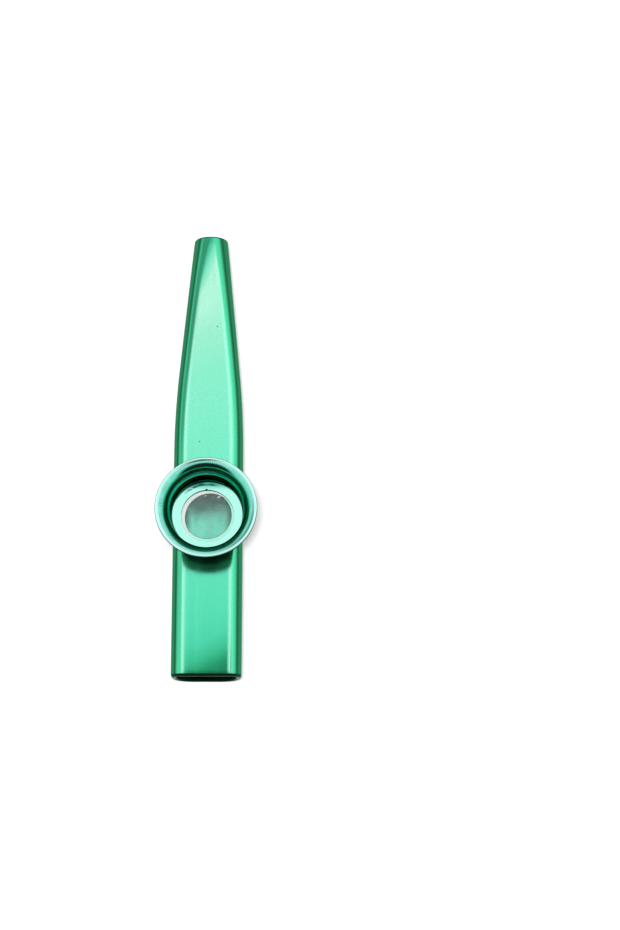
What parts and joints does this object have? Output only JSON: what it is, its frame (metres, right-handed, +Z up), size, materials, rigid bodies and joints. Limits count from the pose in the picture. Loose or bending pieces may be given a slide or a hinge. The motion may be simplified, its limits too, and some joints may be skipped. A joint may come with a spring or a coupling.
{
  "type": "kazoo",
  "caption": "Green anodised metal kazoo: a flat-topped tube tapering to a round outlet, with a flared bell that unscrews from a socket to free a paper-ringed membrane.",
  "frame": {"origin": "on the rest face, under the middle of the kazoo's box", "axes": "+X across the tube, +Y along the tube from the wide mouth end to the round outlet, +Z up through the bell"},
  "size_m": [0.0266, 0.12, 0.0206],
  "materials": {
    "tube_metal": "bright green anodised, drawn",
    "turned_metal": "pale green anodised, turned",
    "paper": "white card",
    "film": "thin clear film"
  },
  "bodies": {
    "body": {"body_tube": "tube_metal", "turret_socket": "turned_metal"},
    "membrane_pack": {"membrane_film": "film", "membrane_ring": "paper", "pressure_ring": "turned_metal"},
    "bell": {"bell": "turned_metal"}
  },
  "joints": [
    {"name": "bell_lift", "type": "slide", "parent": "body", "child": "membrane_pack", "axis": [0, 0, 1], "range_m": [0, 0.003]},
    {"name": "bell_twist", "type": "hinge", "parent": "membrane_pack", "child": "bell", "pos_m": [0, -0.0178, 0.0117], "axis": [0, 0, 1], "range_deg": [0, 1440]}
  ],
  "couplings": [
    {"joint": "bell_lift", "follows": "bell_twist", "m_per_rad": 0.00011936}
  ]
}
